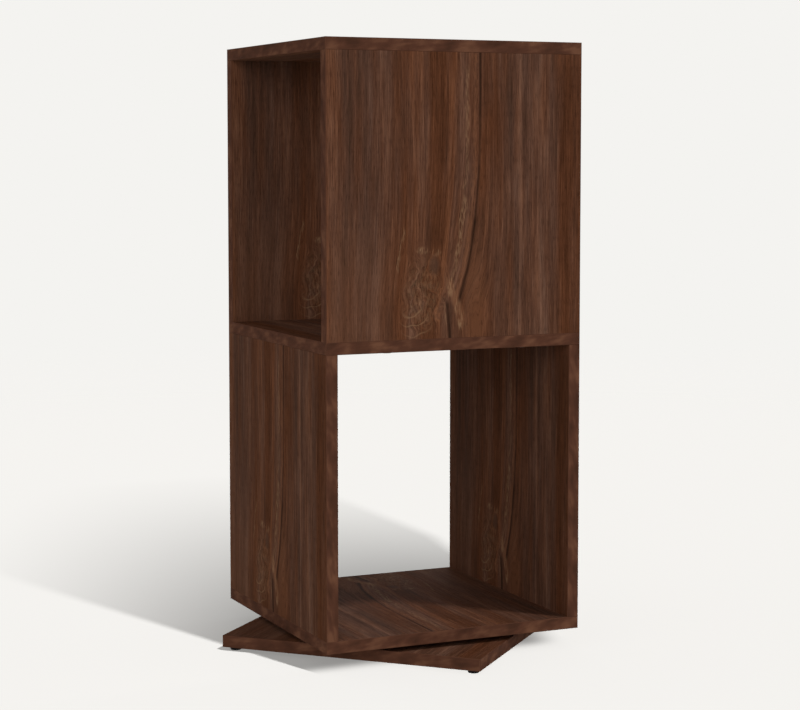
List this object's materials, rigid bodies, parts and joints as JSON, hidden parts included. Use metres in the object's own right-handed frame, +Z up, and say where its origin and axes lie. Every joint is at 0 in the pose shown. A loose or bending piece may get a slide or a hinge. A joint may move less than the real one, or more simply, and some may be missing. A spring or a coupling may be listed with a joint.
{
  "type": "revolving bookcase",
  "caption": "Tall square bookcase of walnut-print boards with crossed open compartments, turning as one cabinet on a ball swivel over a square base plate with glide feet.",
  "frame": {"origin": "on the floor, on the axis that the cabinet turns about", "axes": "+Z up along the turning axis, -Y towards the closed front of the upper compartment, +X to the right as seen from that front"},
  "size_m": [0.4804, 0.4804, 0.755],
  "materials": {
    "walnut_board": "dark walnut print on melamine-faced board, satin",
    "walnut_edging": "dark walnut print on edge strip, satin",
    "black_plastic": "moulded black plastic",
    "zinc_plated_steel": "zinc-plated pressed steel",
    "ball_steel": "polished steel balls",
    "nylon_cage": "natural nylon",
    "beech_dowel": "beech, turned",
    "brown_cap": "moulded brown plastic"
  },
  "bodies": {
    "base": {"base_plate": "walnut_board", "base_plate_back_edging": "walnut_edging", "base_plate_front_edging": "walnut_edging", "base_plate_left_edging": "walnut_edging", "base_plate_right_edging": "walnut_edging", "base_swivel_screws": "zinc_plated_steel", "foot_back": "black_plastic", "foot_front": "black_plastic", "foot_left": "black_plastic", "foot_right": "black_plastic", "pivot_rivet": "zinc_plated_steel", "swivel_lower_plate": "zinc_plated_steel"},
    "ball_ring": {"ball_cage": "nylon_cage", "bearing_balls": "ball_steel"},
    "cabinet": {"bottom_dowels": "beech_dowel", "bottom_panel": "walnut_board", "bottom_panel_back_edging": "walnut_edging", "bottom_panel_front_edging": "walnut_edging", "bottom_panel_left_edging": "walnut_edging", "bottom_panel_right_edging": "walnut_edging", "bottom_screws": "zinc_plated_steel", "cabinet_swivel_screws": "zinc_plated_steel", "lower_left_panel": "walnut_board", "lower_left_panel_back_edging": "walnut_edging", "lower_left_panel_front_edging": "walnut_edging", "lower_right_panel": "walnut_board", "lower_right_panel_back_edging": "walnut_edging", "lower_right_panel_front_edging": "walnut_edging", "middle_shelf": "walnut_board", "middle_shelf_back_edging": "walnut_edging", "middle_shelf_front_edging": "walnut_edging", "middle_shelf_left_edging": "walnut_edging", "middle_shelf_right_edging": "walnut_edging", "shelf_lower_dowels": "beech_dowel", "shelf_screw_caps": "brown_cap", "shelf_screws": "zinc_plated_steel", "shelf_upper_dowels": "beech_dowel", "swivel_upper_plate": "zinc_plated_steel", "top_dowels": "beech_dowel", "top_panel": "walnut_board", "top_panel_back_edging": "walnut_edging", "top_panel_front_edging": "walnut_edging", "top_panel_left_edging": "walnut_edging", "top_panel_right_edging": "walnut_edging", "upper_back_panel": "walnut_board", "upper_back_panel_left_edging": "walnut_edging", "upper_back_panel_right_edging": "walnut_edging", "upper_front_panel": "walnut_board", "upper_front_panel_left_edging": "walnut_edging", "upper_front_panel_right_edging": "walnut_edging"}
  },
  "joints": [
    {"name": "cabinet_turn", "type": "hinge", "parent": "base", "child": "cabinet", "pos_m": [0, 0, 0.02275], "axis": [0, 0, 1], "continuous": true},
    {"name": "ball_orbit", "type": "hinge", "parent": "base", "child": "ball_ring", "pos_m": [0, 0, 0.02275], "axis": [0, 0, 1], "continuous": true}
  ],
  "couplings": [
    {"joint": "ball_orbit", "follows": "cabinet_turn", "ratio": 0.5}
  ]
}
